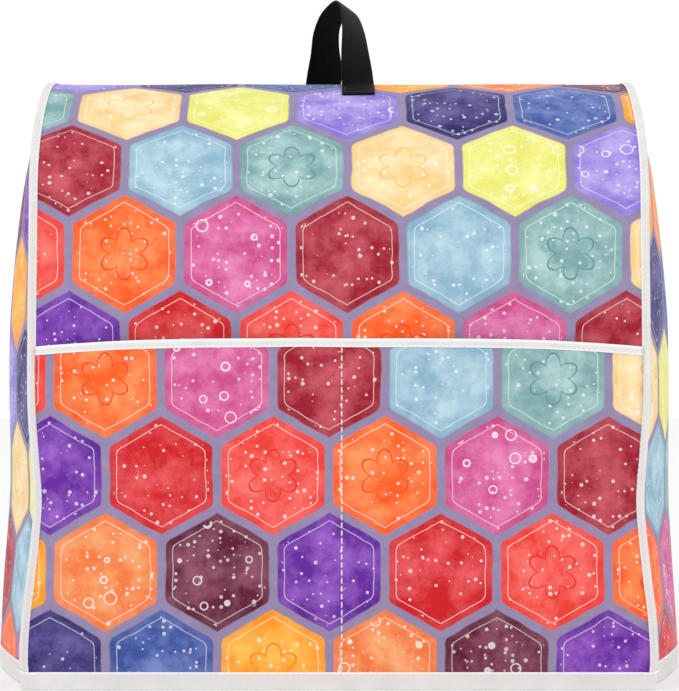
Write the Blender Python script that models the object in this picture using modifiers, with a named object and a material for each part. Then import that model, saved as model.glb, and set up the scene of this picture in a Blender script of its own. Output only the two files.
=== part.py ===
"""A fabric dust cover for a stand mixer, standing on its hem with its pocket to the front (-Y).

One long strip of cloth runs up the front, over an arched top and down the back. Two side panels close the
ends and bulge to a soft upright crease. The raised seams between them are bound with tape, and so are the hem
and the pocket's top edge. A webbing loop is sewn on top. Every piece is cloth, so every piece is a grid of
stations laid on its surface and thickened with Solidify. Units are metres.
"""

import math
from collections import namedtuple

import bmesh
import bpy
from mathutils import Vector

# Cloth, tape and webbing
CLOTH = 0.0010
TAPE = 0.0010
WEBBING = 0.0012
GAP = 0.0003  # between neighbouring layers
MERGE = 0.00001

# The arched strip, seen from the side
CREST_HEIGHT = 0.4085
SHOULDER_RISE = 0.090
SHOULDER_DEPTH = 0.130
SPRING_HEIGHT = CREST_HEIGHT - SHOULDER_RISE
FRONT_BELLY = 0.0025
BACK_BELLY = 0.0110

# The side panels
CREASE_SOFTNESS = 1.3  # 1 is a sharp upright crease, 2 a round bulge
CREASE_TOP_SHARE = 0.6  # how far up the arch the crease runs

# The raised seam between strip and side panel. It leans from straight out of the strip towards the side
WALL_LEAN = math.radians(55)
CREST_LEAN = math.radians(84)
FLANGE = 0.0030
BEND = 0.0008  # how far before the seam's line either cloth bends into the flange
STRIP_LEG_START = 0.0006  # how far out along the flange the tape's two legs begin
SIDE_LEG_START = 0.0012
LAYER = (CLOTH + GAP) / 2  # from the seam's middle to the middle of either cloth
SEAM_REACH = LAYER + CLOTH / 2 + GAP + TAPE / 2
SEAM_TIP = FLANGE + GAP + TAPE / 2
FOLD_CUT = 0.0005
SEAM_FOOT_GAP = 0.0010  # between the seam tape's slanting foot and the hem's tape

# The hem tape, taller on the side panels than on the strip
HEM_STRIP_TOP = 0.0115
HEM_SIDE_TOP = 0.0138
CLOTH_FOOT = TAPE + GAP
BOUND = CLOTH / 2 + GAP + TAPE / 2  # from the middle of one cloth to the middle of the tape on it

# The pocket
POCKET_TOP = 0.2279
POCKET_DROOP = 0.0054
DROOP_POWER = 3.5
POCKET_LAYER = CLOTH + GAP
POCKET_STAND_OFF = 0.0030  # at the mouth, where the tape's back leg lies behind the cloth
MOUTH_GAPE = 0.0100
POCKET_SIDE_CLEAR = 0.0014
POCKET_TAPE_LEG = 0.0048

# The webbing loop
STRAP_SEAT = LAYER + CLOTH / 2 + GAP + WEBBING / 2  # the strip lies up to one LAYER above the arch

# How the standing cover is shaped from the floor up, with its slight waist a third of the way up
Level = namedtuple("Level", "height seam_half_width seam_half_depth crease_half_width")
LEVELS = (
    Level(0.000, 0.2021, 0.1310, 0.2392),
    Level(0.020, 0.2022, 0.1310, 0.2392),
    Level(0.045, 0.2020, 0.1308, 0.2379),
    Level(0.073, 0.1991, 0.1300, 0.2361),
    Level(0.101, 0.1968, 0.1292, 0.2340),
    Level(0.124, 0.1955, 0.1290, 0.2331),
    Level(0.152, 0.1975, 0.1294, 0.2330),
    Level(0.187, 0.1995, 0.1300, 0.2333),
    Level(0.245, 0.1997, 0.1302, 0.2322),
    Level(0.288, 0.1993, 0.1301, 0.2287),
    Level(0.321, 0.1988, 0.1300, 0.2245),
    Level(0.350, 0.1990, 0.1300, 0.2196),
    Level(0.390, 0.1990, 0.1300, 0.2120),
    Level(0.409, 0.1984, 0.1300, 0.2060),
)

# The strap's middle line from front foot to back foot: place along Y, rise above the top cloth, place along X,
# how far its width turns from X towards +Y in degrees, and the width
Lift = namedtuple("Lift", "depth rise aside turn width")
STRAP = (
    Lift(-0.0700, STRAP_SEAT, 0.0132, 3, 0.0226),
    Lift(-0.0600, STRAP_SEAT, 0.0132, 6, 0.0230),
    Lift(-0.0500, STRAP_SEAT, 0.0132, 14, 0.0240),
    Lift(-0.0450, 0.0040, 0.0131, 22, 0.0245),
    Lift(-0.0425, 0.0140, 0.0127, 33, 0.0250),
    Lift(-0.0380, 0.0250, 0.0120, 42, 0.0250),
    Lift(-0.0300, 0.0370, 0.0104, 51, 0.0250),
    Lift(-0.0200, 0.0475, 0.0088, 58, 0.0250),
    Lift(-0.0095, 0.0545, 0.0064, 63, 0.0250),
    Lift(0.0000, 0.0568, 0.0028, 66, 0.0250),
    Lift(0.0095, 0.0550, -0.0014, 66, 0.0250),
    Lift(0.0190, 0.0487, -0.0056, 59, 0.0250),
    Lift(0.0290, 0.0390, -0.0082, 47, 0.0250),
    Lift(0.0370, 0.0270, -0.0102, 34, 0.0250),
    Lift(0.0420, 0.0145, -0.0112, 20, 0.0252),
    Lift(0.0450, 0.0040, -0.0118, 8, 0.0254),
    Lift(0.0500, STRAP_SEAT, -0.0121, 3, 0.0254),
    Lift(0.0600, STRAP_SEAT, -0.0122, 2, 0.0254),
    Lift(0.0700, STRAP_SEAT, -0.0123, 2, 0.0254),
)
STRAP_STEPS = 2  # grid rows between two of those stations
STRAP_TILT = 0.25  # how much the turned width also dips to the right, where the loop stands this high
STRAP_TILT_RISE = 0.030

# Grid steps
STRIP_COLUMNS = 16
FIRST_ROW = 0.024  # the height of the first row above the foot
WALL_ROWS = 12
SHOULDER_ROWS = 8
SIDE_COLUMNS = 7
POCKET_COLUMNS = 24
POCKET_ROWS = 10
HEM_STRIP_COLUMNS = 12
HEM_SIDE_COLUMNS = 6

Look = namedtuple("Look", "name colour roughness")
PRINTED = Look("printed_cloth", (0.62, 0.45, 0.58, 1.0), 0.75)
WHITE_TAPE = Look("white_tape", (0.86, 0.86, 0.85, 1.0), 0.7)
BLACK_WEBBING = Look("black_webbing", (0.012, 0.012, 0.013, 1.0), 0.65)


def shoulder_length():
    """The length of a quarter of the top's ellipse, by Ramanujan's formula."""
    deep, tall = SHOULDER_DEPTH, SHOULDER_RISE
    return math.pi / 4 * (3 * (deep + tall) - math.sqrt((3 * deep + tall) * (deep + 3 * tall)))


SHOULDER_LENGTH = shoulder_length()
WALL_RUN = SHOULDER_LENGTH + SPRING_HEIGHT  # from the crest down to the floor


def between(before, start, end, after, share):
    """A smooth value between start and end, which also looks at the values before and after them."""
    bend = 2 * before - 5 * start + 4 * end - after
    twist = 3 * start - before - 3 * end + after
    return start + 0.5 * share * (end - before + share * (bend + share * twist))


def level_at(height):
    """The cover's half widths and half depth at a height, on a smooth curve through LEVELS."""
    last = len(LEVELS) - 2
    index = 0
    while index < last and LEVELS[index + 1].height <= height:
        index += 1
    start, end = LEVELS[index], LEVELS[index + 1]
    share = min(max((height - start.height) / (end.height - start.height), 0.0), 1.0)
    before, after = LEVELS[max(index - 1, 0)], LEVELS[min(index + 2, len(LEVELS) - 1)]
    return Level(*(between(*values, share) for values in zip(before, start, end, after)))


def arch(run):
    """The strip's middle at a distance from the crest, negative to the front, and its outward direction."""
    way = -1 if run < 0 else 1
    far = abs(run)
    if far >= SHOULDER_LENGTH:
        height = WALL_RUN - far
        return Vector((0, way * level_at(height).seam_half_depth, height)), Vector((0, way, 0))
    turn = far / SHOULDER_LENGTH * math.pi / 2
    place = Vector((0, way * SHOULDER_DEPTH * math.sin(turn), SPRING_HEIGHT + SHOULDER_RISE * math.cos(turn)))
    out = Vector((0, way * math.sin(turn) / SHOULDER_DEPTH, math.cos(turn) / SHOULDER_RISE))
    return place, out.normalized()


def seam_point(run, side, along, across):
    """A point by the raised seam: so far out along it, and so far from its middle towards the strip."""
    place, out = arch(run)
    aside = Vector((side, 0, 0))
    place += aside * level_at(place.z).seam_half_width
    lean = CREST_LEAN + (WALL_LEAN - CREST_LEAN) * min(abs(run) / SHOULDER_LENGTH, 1.0)
    flange = aside * math.sin(lean) + out * math.cos(lean)
    to_strip = out * math.sin(lean) - aside * math.cos(lean)
    return place + flange * along + to_strip * across


def belly(run):
    """How far the middle of the strip swells outwards: a little in front, more behind, and not on top."""
    share = min(abs(run) / SHOULDER_LENGTH, 1.0) ** 2
    upright = min(1.0, (WALL_RUN - abs(run)) / SPRING_HEIGHT)
    swell = FRONT_BELLY if run < 0 else BACK_BELLY
    return swell * share * math.sin(math.pi * min(max(upright, 0.0), 1.0))


def strip_point(across, run):
    """The strip's middle surface. Across runs from -1 to 1 between the seams, and on to 2 at a flange's tip."""
    side = 1 if across > 0 else -1
    if abs(across) > 1:
        return seam_point(run, side, FLANGE, LAYER)
    place = seam_point(run, side, -BEND, LAYER)
    place.x *= abs(across)
    return place + arch(run)[1] * belly(run) * (1 - across**2)


def side_point(side, across, run):
    """A side panel's middle surface. Across runs from -1 at the front seam over 0 at the crease to 1 behind."""
    way = -1 if across < 0 else 1
    if abs(across) > 1:
        return seam_point(way * run, side, FLANGE, -LAYER)
    edge = seam_point(way * run, side, -BEND, -LAYER)
    crease_height = min(edge.z, SPRING_HEIGHT) + max(edge.z - SPRING_HEIGHT, 0) * CREASE_TOP_SHARE
    crease = Vector((side * level_at(crease_height).crease_half_width, 0, crease_height))
    share = 1 - abs(across)
    point = edge.lerp(crease, share)
    point.x = edge.x + (crease.x - edge.x) * (1 - (1 - share) ** CREASE_SOFTNESS)
    return point


def pocket_height(across):
    """The height of the pocket cloth's top edge, which droops towards both ends."""
    return POCKET_TOP - POCKET_DROOP * abs(across) ** DROOP_POWER


def pocket_point(across, drop, outward=0.0):
    """The pocket's middle surface, so far below its top edge. It gapes at the mouth of each of its two halves."""
    top = pocket_height(across)
    height = top - drop
    share = min(max((height - CLOTH_FOOT) / (top - CLOTH_FOOT), 0.0), 1.0)
    run = height - WALL_RUN
    level = level_at(height)
    x = across * (level.seam_half_width - POCKET_SIDE_CLEAR)
    behind = strip_point(x / level.seam_half_width, run)
    stand_off = POCKET_LAYER + (POCKET_STAND_OFF - POCKET_LAYER) * share**2
    gape = MOUTH_GAPE * math.sin(math.pi * across) ** 2 * share**2.5
    return Vector((x, behind.y - stand_off - gape - outward, height))


def strap_station(place):
    """The strap's smooth middle line and turn at a place counted in stations."""
    index = min(int(place), len(STRAP) - 2)
    before, after = STRAP[max(index - 1, 0)], STRAP[min(index + 2, len(STRAP) - 1)]
    values = zip(before, STRAP[index], STRAP[index + 1], after)
    return Lift(*(between(*four, place - index) for four in values))


def strap_point(across, place):
    """The strap's middle surface, across from -1 to 1, which lies on the arched top at both feet."""
    lift = strap_station(place)
    turn = math.radians(lift.turn)
    tilt = STRAP_TILT * min((lift.rise - STRAP_SEAT) / STRAP_TILT_RISE, 1.0)
    width = Vector((math.cos(turn), math.sin(turn), -tilt * math.sin(turn)))
    x, y = Vector((lift.aside, lift.depth)) + width.xy * across * lift.width / 2
    top = SPRING_HEIGHT + SHOULDER_RISE * math.sqrt(1 - (y / SHOULDER_DEPTH) ** 2)
    return Vector((x, y, top + lift.rise + width.z * across * lift.width / 2))


def steps(start, end, count):
    """Evenly spaced values from start to end, both included."""
    return [start + (end - start) * index / count for index in range(count + 1)]


def wall_runs(foot):
    """Distances from the crest, from a foot height up one wall and round one shoulder to the crest."""
    wall = steps(WALL_RUN - FIRST_ROW, SHOULDER_LENGTH, WALL_ROWS)
    return [WALL_RUN - foot, *wall, *steps(SHOULDER_LENGTH, 0, SHOULDER_ROWS)[1:]]


def over_the_top(runs):
    """The runs of one wall, made to go on from front to back."""
    return [-run for run in runs] + runs[-2::-1]


def material(look):
    """The material for a look, made once."""
    found = bpy.data.materials.get(look.name)
    if found:
        return found
    made = bpy.data.materials.new(look.name)
    made.use_nodes = True
    shader = made.node_tree.nodes["Principled BSDF"]
    shader.inputs["Base Color"].default_value = look.colour
    shader.inputs["Roughness"].default_value = look.roughness
    shader.inputs["Metallic"].default_value = 0.0
    return made


def sheet(name, columns, rows, place, thickness, look):
    """One piece of cloth: place(column, row) gives its middle surface, and Solidify its thickness."""
    form = bmesh.new()
    last_column, last_row = len(columns) - 1, len(rows) - 1
    bmesh.ops.create_grid(form, x_segments=last_column, y_segments=last_row, size=1.0)
    for vertex in form.verts:
        column = columns[round((vertex.co.x + 1) / 2 * last_column)]
        row = rows[round((vertex.co.y + 1) / 2 * last_row)]
        vertex.co = place(column, row)
    bmesh.ops.remove_doubles(form, verts=form.verts, dist=MERGE)
    bmesh.ops.recalc_face_normals(form, faces=form.faces)
    mesh = bpy.data.meshes.new(name)
    form.to_mesh(mesh)
    form.free()
    mesh.materials.append(material(look))
    mesh.shade_smooth()
    piece = bpy.data.objects.new(name, mesh)
    bpy.data.collections["mixer_cover"].objects.link(piece)
    solidify = piece.modifiers.new("thickness", "SOLIDIFY")
    solidify.thickness = thickness
    solidify.offset = 0.0
    solidify.solidify_mode = "NON_MANIFOLD"
    solidify.nonmanifold_thickness_mode = "CONSTRAINTS"
    return piece


def make_strip():
    columns = [-2, *steps(-1, 1, STRIP_COLUMNS), 2]
    rows = over_the_top(wall_runs(CLOTH_FOOT))
    sheet("wrap_panel", columns, rows, strip_point, CLOTH, PRINTED)


def make_side_panel(name, side):
    """A side panel. The rows that reach the crest from front and back meet there and are merged."""
    columns = [-2, *steps(-1, 1, 2 * SIDE_COLUMNS), 2]

    def place(across, run):
        return side_point(side, across, run)

    sheet(name, columns, wall_runs(CLOTH_FOOT), place, CLOTH, PRINTED)


def make_pocket():
    rows = steps(0, 1, POCKET_ROWS)

    def place(across, share):
        return pocket_point(across, (1 - share) * (pocket_height(across) - CLOTH_FOOT))

    sheet("pocket_panel", steps(-1, 1, POCKET_COLUMNS), rows, place, CLOTH, PRINTED)


def make_pocket_tape():
    """Tape folded over the pocket's top edge: rise above the edge, and outward distance, for each fold line."""
    top = GAP + TAPE / 2
    fold = (
        (-POCKET_TAPE_LEG, BOUND),
        (top - FOLD_CUT, BOUND),
        (top, BOUND - FOLD_CUT),
        (top, FOLD_CUT - BOUND),
        (top - FOLD_CUT, -BOUND),
        (-POCKET_TAPE_LEG, -BOUND),
    )

    def place(across, line):
        rise, outward = fold[line]
        return pocket_point(across, -rise, outward)

    sheet("pocket_binding", steps(-1, 1, POCKET_COLUMNS), range(len(fold)), place, TAPE, WHITE_TAPE)


def make_seam_tape(name, side):
    """Tape folded over a raised seam, from the hem's tape in front to the hem's tape behind."""
    fold = (
        (STRIP_LEG_START, SEAM_REACH),
        (SEAM_TIP - FOLD_CUT, SEAM_REACH),
        (SEAM_TIP, SEAM_REACH - FOLD_CUT),
        (SEAM_TIP, FOLD_CUT - SEAM_REACH),
        (SEAM_TIP - FOLD_CUT, -SEAM_REACH),
        (SIDE_LEG_START, -SEAM_REACH),
    )

    def place(line, run):
        along, across = fold[line]
        to_side = (SEAM_REACH - across) / (2 * SEAM_REACH)
        foot = HEM_STRIP_TOP + (HEM_SIDE_TOP - HEM_STRIP_TOP) * to_side + SEAM_FOOT_GAP
        lowest = WALL_RUN - foot
        return seam_point(min(max(run, -lowest), lowest), side, along, across)

    sheet(name, range(len(fold)), over_the_top(wall_runs(0)), place, TAPE, WHITE_TAPE)


def strip_hem(way, across):
    """The hem's legs over the strip, where the front also holds the pocket: inner and outer point at a height."""
    outer = BOUND + (POCKET_LAYER if way < 0 else 0)
    top = HEM_STRIP_TOP

    def leg(outward, height):
        place = strip_point(across, way * (WALL_RUN - height))
        return place + Vector((0, way, 0)) * (outer if outward else -BOUND)

    return leg, top


def side_hem(side, across):
    """The hem's legs over a side panel, square to its curve as seen from above."""

    def leg(outward, height):
        run = WALL_RUN - height
        step = 0.01
        before, after = side_point(side, across - step, run), side_point(side, across + step, run)
        along = (after - before).normalized()
        out = Vector((along.y, -along.x, 0)) * side
        return side_point(side, across, run) + out * (BOUND if outward else -BOUND)

    return leg, HEM_SIDE_TOP


def corner_hem(side, way):
    """The hem's legs round a corner, where the outer one goes on round the raised seam: four stations."""
    strip_outer = BOUND + (POCKET_LAYER if way < 0 else 0)
    near, far = 0.0022, 0.0032
    strip_foot = (strip_outer - SEAM_REACH * math.sin(WALL_LEAN)) / math.cos(WALL_LEAN)
    side_foot = (BOUND - SEAM_REACH * math.cos(WALL_LEAN)) / math.sin(WALL_LEAN)
    stations = (
        (strip_foot, SEAM_REACH, -far, -BOUND, HEM_STRIP_TOP),
        (SEAM_TIP, SEAM_REACH, -near, -BOUND, HEM_STRIP_TOP),
        (SEAM_TIP, -SEAM_REACH, -BOUND, -near, HEM_SIDE_TOP),
        (side_foot, -SEAM_REACH, -BOUND, -far, HEM_SIDE_TOP),
    )
    made = []
    for along, across, aside, out, top in stations:

        def leg(outward, height, along=along, across=across, aside=aside, out=out):
            run = way * (WALL_RUN - height)
            if outward:
                return seam_point(run, side, along, across)
            return seam_point(run, side, 0, 0) + Vector((side * aside, way * out, 0))

        made.append((leg, top))
    return made


def make_hem():
    """Tape folded round the whole bottom edge, in one closed ring."""
    front = [strip_hem(-1, across) for across in steps(-0.97, 0.97, HEM_STRIP_COLUMNS)]
    back = [strip_hem(1, across) for across in steps(0.97, -0.97, HEM_STRIP_COLUMNS)]
    right = [side_hem(1, across) for across in steps(-0.95, 0.95, 2 * HEM_SIDE_COLUMNS)]
    left = [side_hem(-1, across) for across in steps(0.95, -0.95, 2 * HEM_SIDE_COLUMNS)]
    ring = front + corner_hem(1, -1) + right + corner_hem(1, 1)[::-1]
    ring += back + corner_hem(-1, 1) + left + corner_hem(-1, -1)[::-1]
    ring.append(ring[0])
    floor_height = TAPE / 2

    def place(line, station):
        leg, top = ring[station]
        outward = line > 1
        height = top if line in (0, 3) else floor_height
        point = leg(outward, height)
        point.z = height
        return point

    sheet("hem_binding", range(4), range(len(ring)), place, TAPE, WHITE_TAPE)


def make_strap():
    places = steps(0, len(STRAP) - 1, STRAP_STEPS * (len(STRAP) - 1))
    sheet("handle_strap", (-1, 0, 1), places, strap_point, WEBBING, BLACK_WEBBING)


def main():
    for old in list(bpy.data.objects):
        bpy.data.objects.remove(old)
    bpy.context.scene.collection.children.link(bpy.data.collections.new("mixer_cover"))
    make_strip()
    make_side_panel("side_panel_left", -1)
    make_side_panel("side_panel_right", 1)
    make_pocket()
    make_pocket_tape()
    make_seam_tape("seam_binding_left", -1)
    make_seam_tape("seam_binding_right", 1)
    make_hem()
    make_strap()


main()
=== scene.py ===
"""The dressed stand mixer cover: printed cloth, binding tape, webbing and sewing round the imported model.

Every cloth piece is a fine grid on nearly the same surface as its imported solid, thickened to real cloth. The
print is a generic hexagon patchwork made from nodes. Units are metres; the pocket faces -Y and the hem stands
on z = 0.
"""

import math
from bisect import bisect
from collections import namedtuple

import bmesh
import bpy
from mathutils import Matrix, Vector, noise


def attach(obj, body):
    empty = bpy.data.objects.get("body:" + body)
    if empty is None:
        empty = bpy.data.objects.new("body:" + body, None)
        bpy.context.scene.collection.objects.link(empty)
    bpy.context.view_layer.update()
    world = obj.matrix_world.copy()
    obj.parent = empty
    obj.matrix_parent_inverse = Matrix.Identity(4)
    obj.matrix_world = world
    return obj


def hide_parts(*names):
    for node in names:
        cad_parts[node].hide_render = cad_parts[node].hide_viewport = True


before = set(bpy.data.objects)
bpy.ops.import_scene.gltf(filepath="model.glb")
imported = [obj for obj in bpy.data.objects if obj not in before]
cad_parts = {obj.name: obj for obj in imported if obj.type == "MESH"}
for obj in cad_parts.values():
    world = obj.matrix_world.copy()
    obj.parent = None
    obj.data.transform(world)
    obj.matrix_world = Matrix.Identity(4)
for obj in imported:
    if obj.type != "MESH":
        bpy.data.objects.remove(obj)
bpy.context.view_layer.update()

# Cloth, tape and webbing
CLOTH = 0.0007
TAPE = 0.0006
WEBBING = 0.0014
GAP = 0.00015  # between neighbouring pieces
MERGE = 0.00001  # grid points closer than this become one

# The arched strip, seen from the side
CREST_HEIGHT = 0.4085
SHOULDER_RISE = 0.090
SHOULDER_DEPTH = 0.130
SPRING_HEIGHT = CREST_HEIGHT - SHOULDER_RISE
FRONT_BELLY = 0.0025
BACK_BELLY = 0.0110

# The side panels
CREASE_SOFTNESS = 1.3
CREASE_TOP_SHARE = 0.6
SIDE_STRETCH = 1.07  # how much longer the bulged cloth is than its depth

# The raised seam between strip and side panel
WALL_LEAN = math.radians(55)
CREST_LEAN = math.radians(84)
FLANGE = 0.0048
BEND = 0.0006
LAYER = (CLOTH + GAP) / 2
SEAM_REACH = LAYER + CLOTH / 2 + GAP + TAPE / 2
SEAM_TIP = FLANGE + GAP + TAPE / 2
STRIP_LEG_START = 0.0002
SIDE_LEG_START = 0.0008
SEAM_TUCK = 0.0012  # how far its tape goes down inside the hem's tape

# A folded tape's section
FOLD_STEP = 30  # degrees
LEG_SHARES = (0, 0.12, 0.5)

# The hem tape
HEM_STRIP_TOP = 0.0115
HEM_SIDE_TOP = 0.0156
HEM_STRIP_END = 0.975  # where a corner takes over, as a share of the half width, and then of the half depth
HEM_SIDE_END = 0.96
CLOTH_FOOT = TAPE + GAP
HEM_SEAM_CLEAR = 0.0008
HEM_CORNER = 0.0020  # how far its inner leg keeps off the seam's line at a corner
HEM_LOOK_ASIDE = 0.01  # how far to each side the panel's direction is looked up
BOUND = CLOTH / 2 + GAP + TAPE / 2

# The hem tape's section, down its inner leg, under the edge and up its outer leg
HemLine = namedtuple("HemLine", "outward share")
HEM_SECTION = (
    HemLine(False, 1.0),
    HemLine(False, 0.55),
    HemLine(False, 0.2),
    HemLine(False, 0.0),
    HemLine(True, 0.0),
    HemLine(True, 0.06),
    HemLine(True, 0.3),
    HemLine(True, 0.9),
    HemLine(True, 1.0),
)

# The pocket
POCKET_TOP = 0.2289
POCKET_DROOP = 0.0054
DROOP_POWER = 3.5
POCKET_LAYER = CLOTH + GAP
POCKET_STAND_OFF = 0.0024
MOUTH_GAPE = 0.0095
GAPE_POWER = 2.5
POCKET_SIDE_CLEAR = 0.0006
POCKET_TAPE_LEG = 0.0050

# The cloth's unevenness: its depth, how fast its noise changes across and along, and the noise's layer
Unevenness = namedtuple("Unevenness", "depth across along layer")
STRIP_RIPPLE = Unevenness(0.0009, 2.4, 9.0, 3.7)
SIDE_RIPPLE = Unevenness(0.0011, 1.8, 10.0, 5.0)
POCKET_RIPPLE = Unevenness(0.0008, 2.6, 9.0, 14.0)
POCKET_TOP_WAVE = Unevenness(0.0004, 4.0, 8.0, 0.0)
PUCKER_DRIFT = Unevenness(2, 3, 20, 0)  # its depth is in radians
STRIP_RIPPLE_EDGE = 0.12  # the share of the half width over which the ripple dies away at a seam
SIDE_RIPPLE_EDGE = 0.15
STIFF_FOOT = 0.02  # how high the hem keeps the cloth even
RIPPLE_FADE = 0.05
PUCKER_DEPTH = 0.00014
PUCKER_WAVES = 330  # radians a metre
PUCKER_BAND = 0.035
PUCKER_EDGE = 0.012

Level = namedtuple("Level", "height seam_half_width seam_half_depth crease_half_width")
LEVELS = (
    Level(0.000, 0.2014, 0.1310, 0.2388),
    Level(0.016, 0.2040, 0.1310, 0.2392),
    Level(0.045, 0.2028, 0.1308, 0.2379),
    Level(0.073, 0.1995, 0.1300, 0.2361),
    Level(0.101, 0.1965, 0.1292, 0.2340),
    Level(0.124, 0.1949, 0.1290, 0.2331),
    Level(0.152, 0.1967, 0.1294, 0.2330),
    Level(0.187, 0.1989, 0.1300, 0.2333),
    Level(0.245, 0.1987, 0.1302, 0.2322),
    Level(0.288, 0.1982, 0.1301, 0.2287),
    Level(0.321, 0.1979, 0.1300, 0.2245),
    Level(0.350, 0.1978, 0.1300, 0.2196),
    Level(0.390, 0.1971, 0.1300, 0.2120),
    Level(0.409, 0.1976, 0.1300, 0.2060),
)

# The strap, with its turn in degrees and its rise above the arched top
STRAP_SEAT = LAYER + CLOTH / 2 + GAP + WEBBING / 2
Lift = namedtuple("Lift", "depth rise aside turn width")
STRAP = (
    Lift(-0.0700, STRAP_SEAT, 0.0132, 3, 0.0224),
    Lift(-0.0600, STRAP_SEAT, 0.0132, 6, 0.0226),
    Lift(-0.0500, STRAP_SEAT, 0.0132, 14, 0.0230),
    Lift(-0.0450, 0.0040, 0.0129, 22, 0.0236),
    Lift(-0.0425, 0.0140, 0.0120, 33, 0.0248),
    Lift(-0.0380, 0.0250, 0.0111, 42, 0.0250),
    Lift(-0.0300, 0.0370, 0.0103, 51, 0.0250),
    Lift(-0.0200, 0.0477, 0.0083, 58, 0.0250),
    Lift(-0.0095, 0.0545, 0.0056, 63, 0.0250),
    Lift(0.0000, 0.0568, 0.0024, 66, 0.0250),
    Lift(0.0095, 0.0552, -0.0016, 66, 0.0252),
    Lift(0.0190, 0.0490, -0.0066, 58, 0.0256),
    Lift(0.0290, 0.0390, -0.0092, 45, 0.0260),
    Lift(0.0370, 0.0270, -0.0093, 33, 0.0266),
    Lift(0.0420, 0.0145, -0.0109, 17, 0.0262),
    Lift(0.0450, 0.0040, -0.0122, 6, 0.0258),
    Lift(0.0500, STRAP_SEAT, -0.0125, 3, 0.0256),
    Lift(0.0600, STRAP_SEAT, -0.0125, 2, 0.0256),
    Lift(0.0700, STRAP_SEAT, -0.0125, 2, 0.0256),
)
STRAP_TILT = 0.25
STRAP_TILT_RISE = 0.030
STRAP_HALF_WIDTH = 0.0125
STRAP_EDGE = 0.00045
STRAP_EDGE_STEPS = 2

# Grid steps
STRIP_COLUMNS = 72
WALL_ROWS = 56
SHOULDER_ROWS = 34
SIDE_COLUMNS = 26
POCKET_COLUMNS = 96
POCKET_ROWS = 56
HEM_STRIP_COLUMNS = 60
HEM_SIDE_COLUMNS = 24
STRAP_COLUMNS = 10
STRAP_STEPS = 9

# Sewing thread, with a stitch's lift and dip counted in thread radii
THREAD = 0.00030
THICK_THREAD = 0.00055
STITCH = 0.0026
STITCH_SPACE = 0.0008
LONG_STITCH = 0.0039
LONG_STITCH_SPACE = 0.0013
STITCH_LIFT = 0.45
STITCH_DIP = 1.1
STITCH_FLATNESS = 0.8
STITCH_SIDES = 6
StitchRing = namedtuple("StitchRing", "place thickness")
STITCH_RINGS = (
    StitchRing(-0.50, 0.35),
    StitchRing(-0.42, 0.80),
    StitchRing(-0.20, 1.00),
    StitchRing(0.20, 1.00),
    StitchRing(0.42, 0.80),
    StitchRing(0.50, 0.35),
)

# Where the rows of stitches run: insets are from a tape's edge, and the strap's boxes start and end at places
# counted in stations
POCKET_STITCH_INSET = 0.0012
POCKET_STITCH_END = 0.99
SEAM_STITCH_INSET = 0.0011
SEAM_STITCH_STEPS = 400
HEM_STITCH_INSET = 0.0014
PARTING_ASIDE = 0.0018
PARTING_STEPS = 120
BOX_HALF_WIDTH = 0.82  # of the strap's half width
BOX_START = 0.35
BOX_END = 1.9
BOX_STEPS = 12

# The patchwork's colours from 0 to 255, in the order in which they follow each other round the cloth
Colour = namedtuple("Colour", "red green blue")
PATCHES = (
    Colour(72, 100, 176),
    Colour(252, 112, 24),
    Colour(158, 138, 222),
    Colour(216, 14, 32),
    Colour(246, 216, 158),
    Colour(112, 0, 60),
    Colour(156, 194, 212),
    Colour(255, 172, 8),
    Colour(214, 92, 156),
    Colour(42, 22, 122),
    Colour(240, 72, 60),
    Colour(236, 234, 130),
    Colour(118, 34, 174),
    Colour(140, 182, 182),
    Colour(244, 142, 74),
    Colour(174, 0, 46),
)
GROUND = Colour(158, 146, 180)
GROUND_SHADE = (0.35, 0.30, 0.45, 1.0)
GROUND_SHADE_SHARE = 0.5

# The patchwork. Reach is the way out from a hexagon's middle, and 0.5 at its border, in pitches
HEXAGON = 0.073  # the pitch, flat to flat
COLUMN_COLOURS = 3.5  # how many colours on the next column and the next row are
ROW_COLOURS = 1.5
FAR_PITCHES = 100.0  # moves the cloth to where no place is negative
CORNER_ROUNDING = 0.06
PRINT_WOBBLE = 0.0022
OWN_PLACE = (3.1, 1.7, 0.0)  # gives each hexagon its own part of the noise
MOTTLE_LOW = 0.39
MOTTLE_HIGH = 0.63
MOTTLE_DEPTH = 0.8
MOTTLE_DARK_SHARE = 0.5
MOTTLE_LIGHT_SHARE = 0.5
DUST = (1.0, 0.96, 0.94, 1.0)  # what the lighter dye is paled with
DUST_SHARE = 0.10
RIM_START = 0.30
RIM_END = 0.46
RIM_STRENGTH = 0.45
RIM_DEPTH = 0.7
PATCH_END = 0.455
GROUND_START = 0.468
WRAP_SHIFT = (0.031, 0.018, 0.0)  # where in the patchwork each panel is cut
POCKET_SHIFT = (0.262, 0.745, 0.0)
SIDE_SHIFT = (0.518, 0.371, 0.0)

# The printed motifs, in the same measure
PALE = (1.0, 0.99, 0.97, 1.0)
PALE_SHARE = 0.62
DEEP_SHARE = 0.75
MOTIF_KINDS = 3.0
FLOWER_KIND = 1.0
RING_KIND = 2.0
KIND_MARGIN = 0.1
MOTIF_END = 0.425
DOT_SIZE = 0.34
DOT_STRENGTH = 0.85
RING_LEAST = 0.10
RING_SPREAD = 0.16
RING_LINE = 0.028
FLOWER_WAIST = 0.13
PETAL = 0.10
PETAL_PAIRS = 3.0
FLOWER_LINE = 0.009
BORDER = 0.40
BORDER_LINE = 0.004
BORDER_STRENGTH = 0.7

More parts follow.
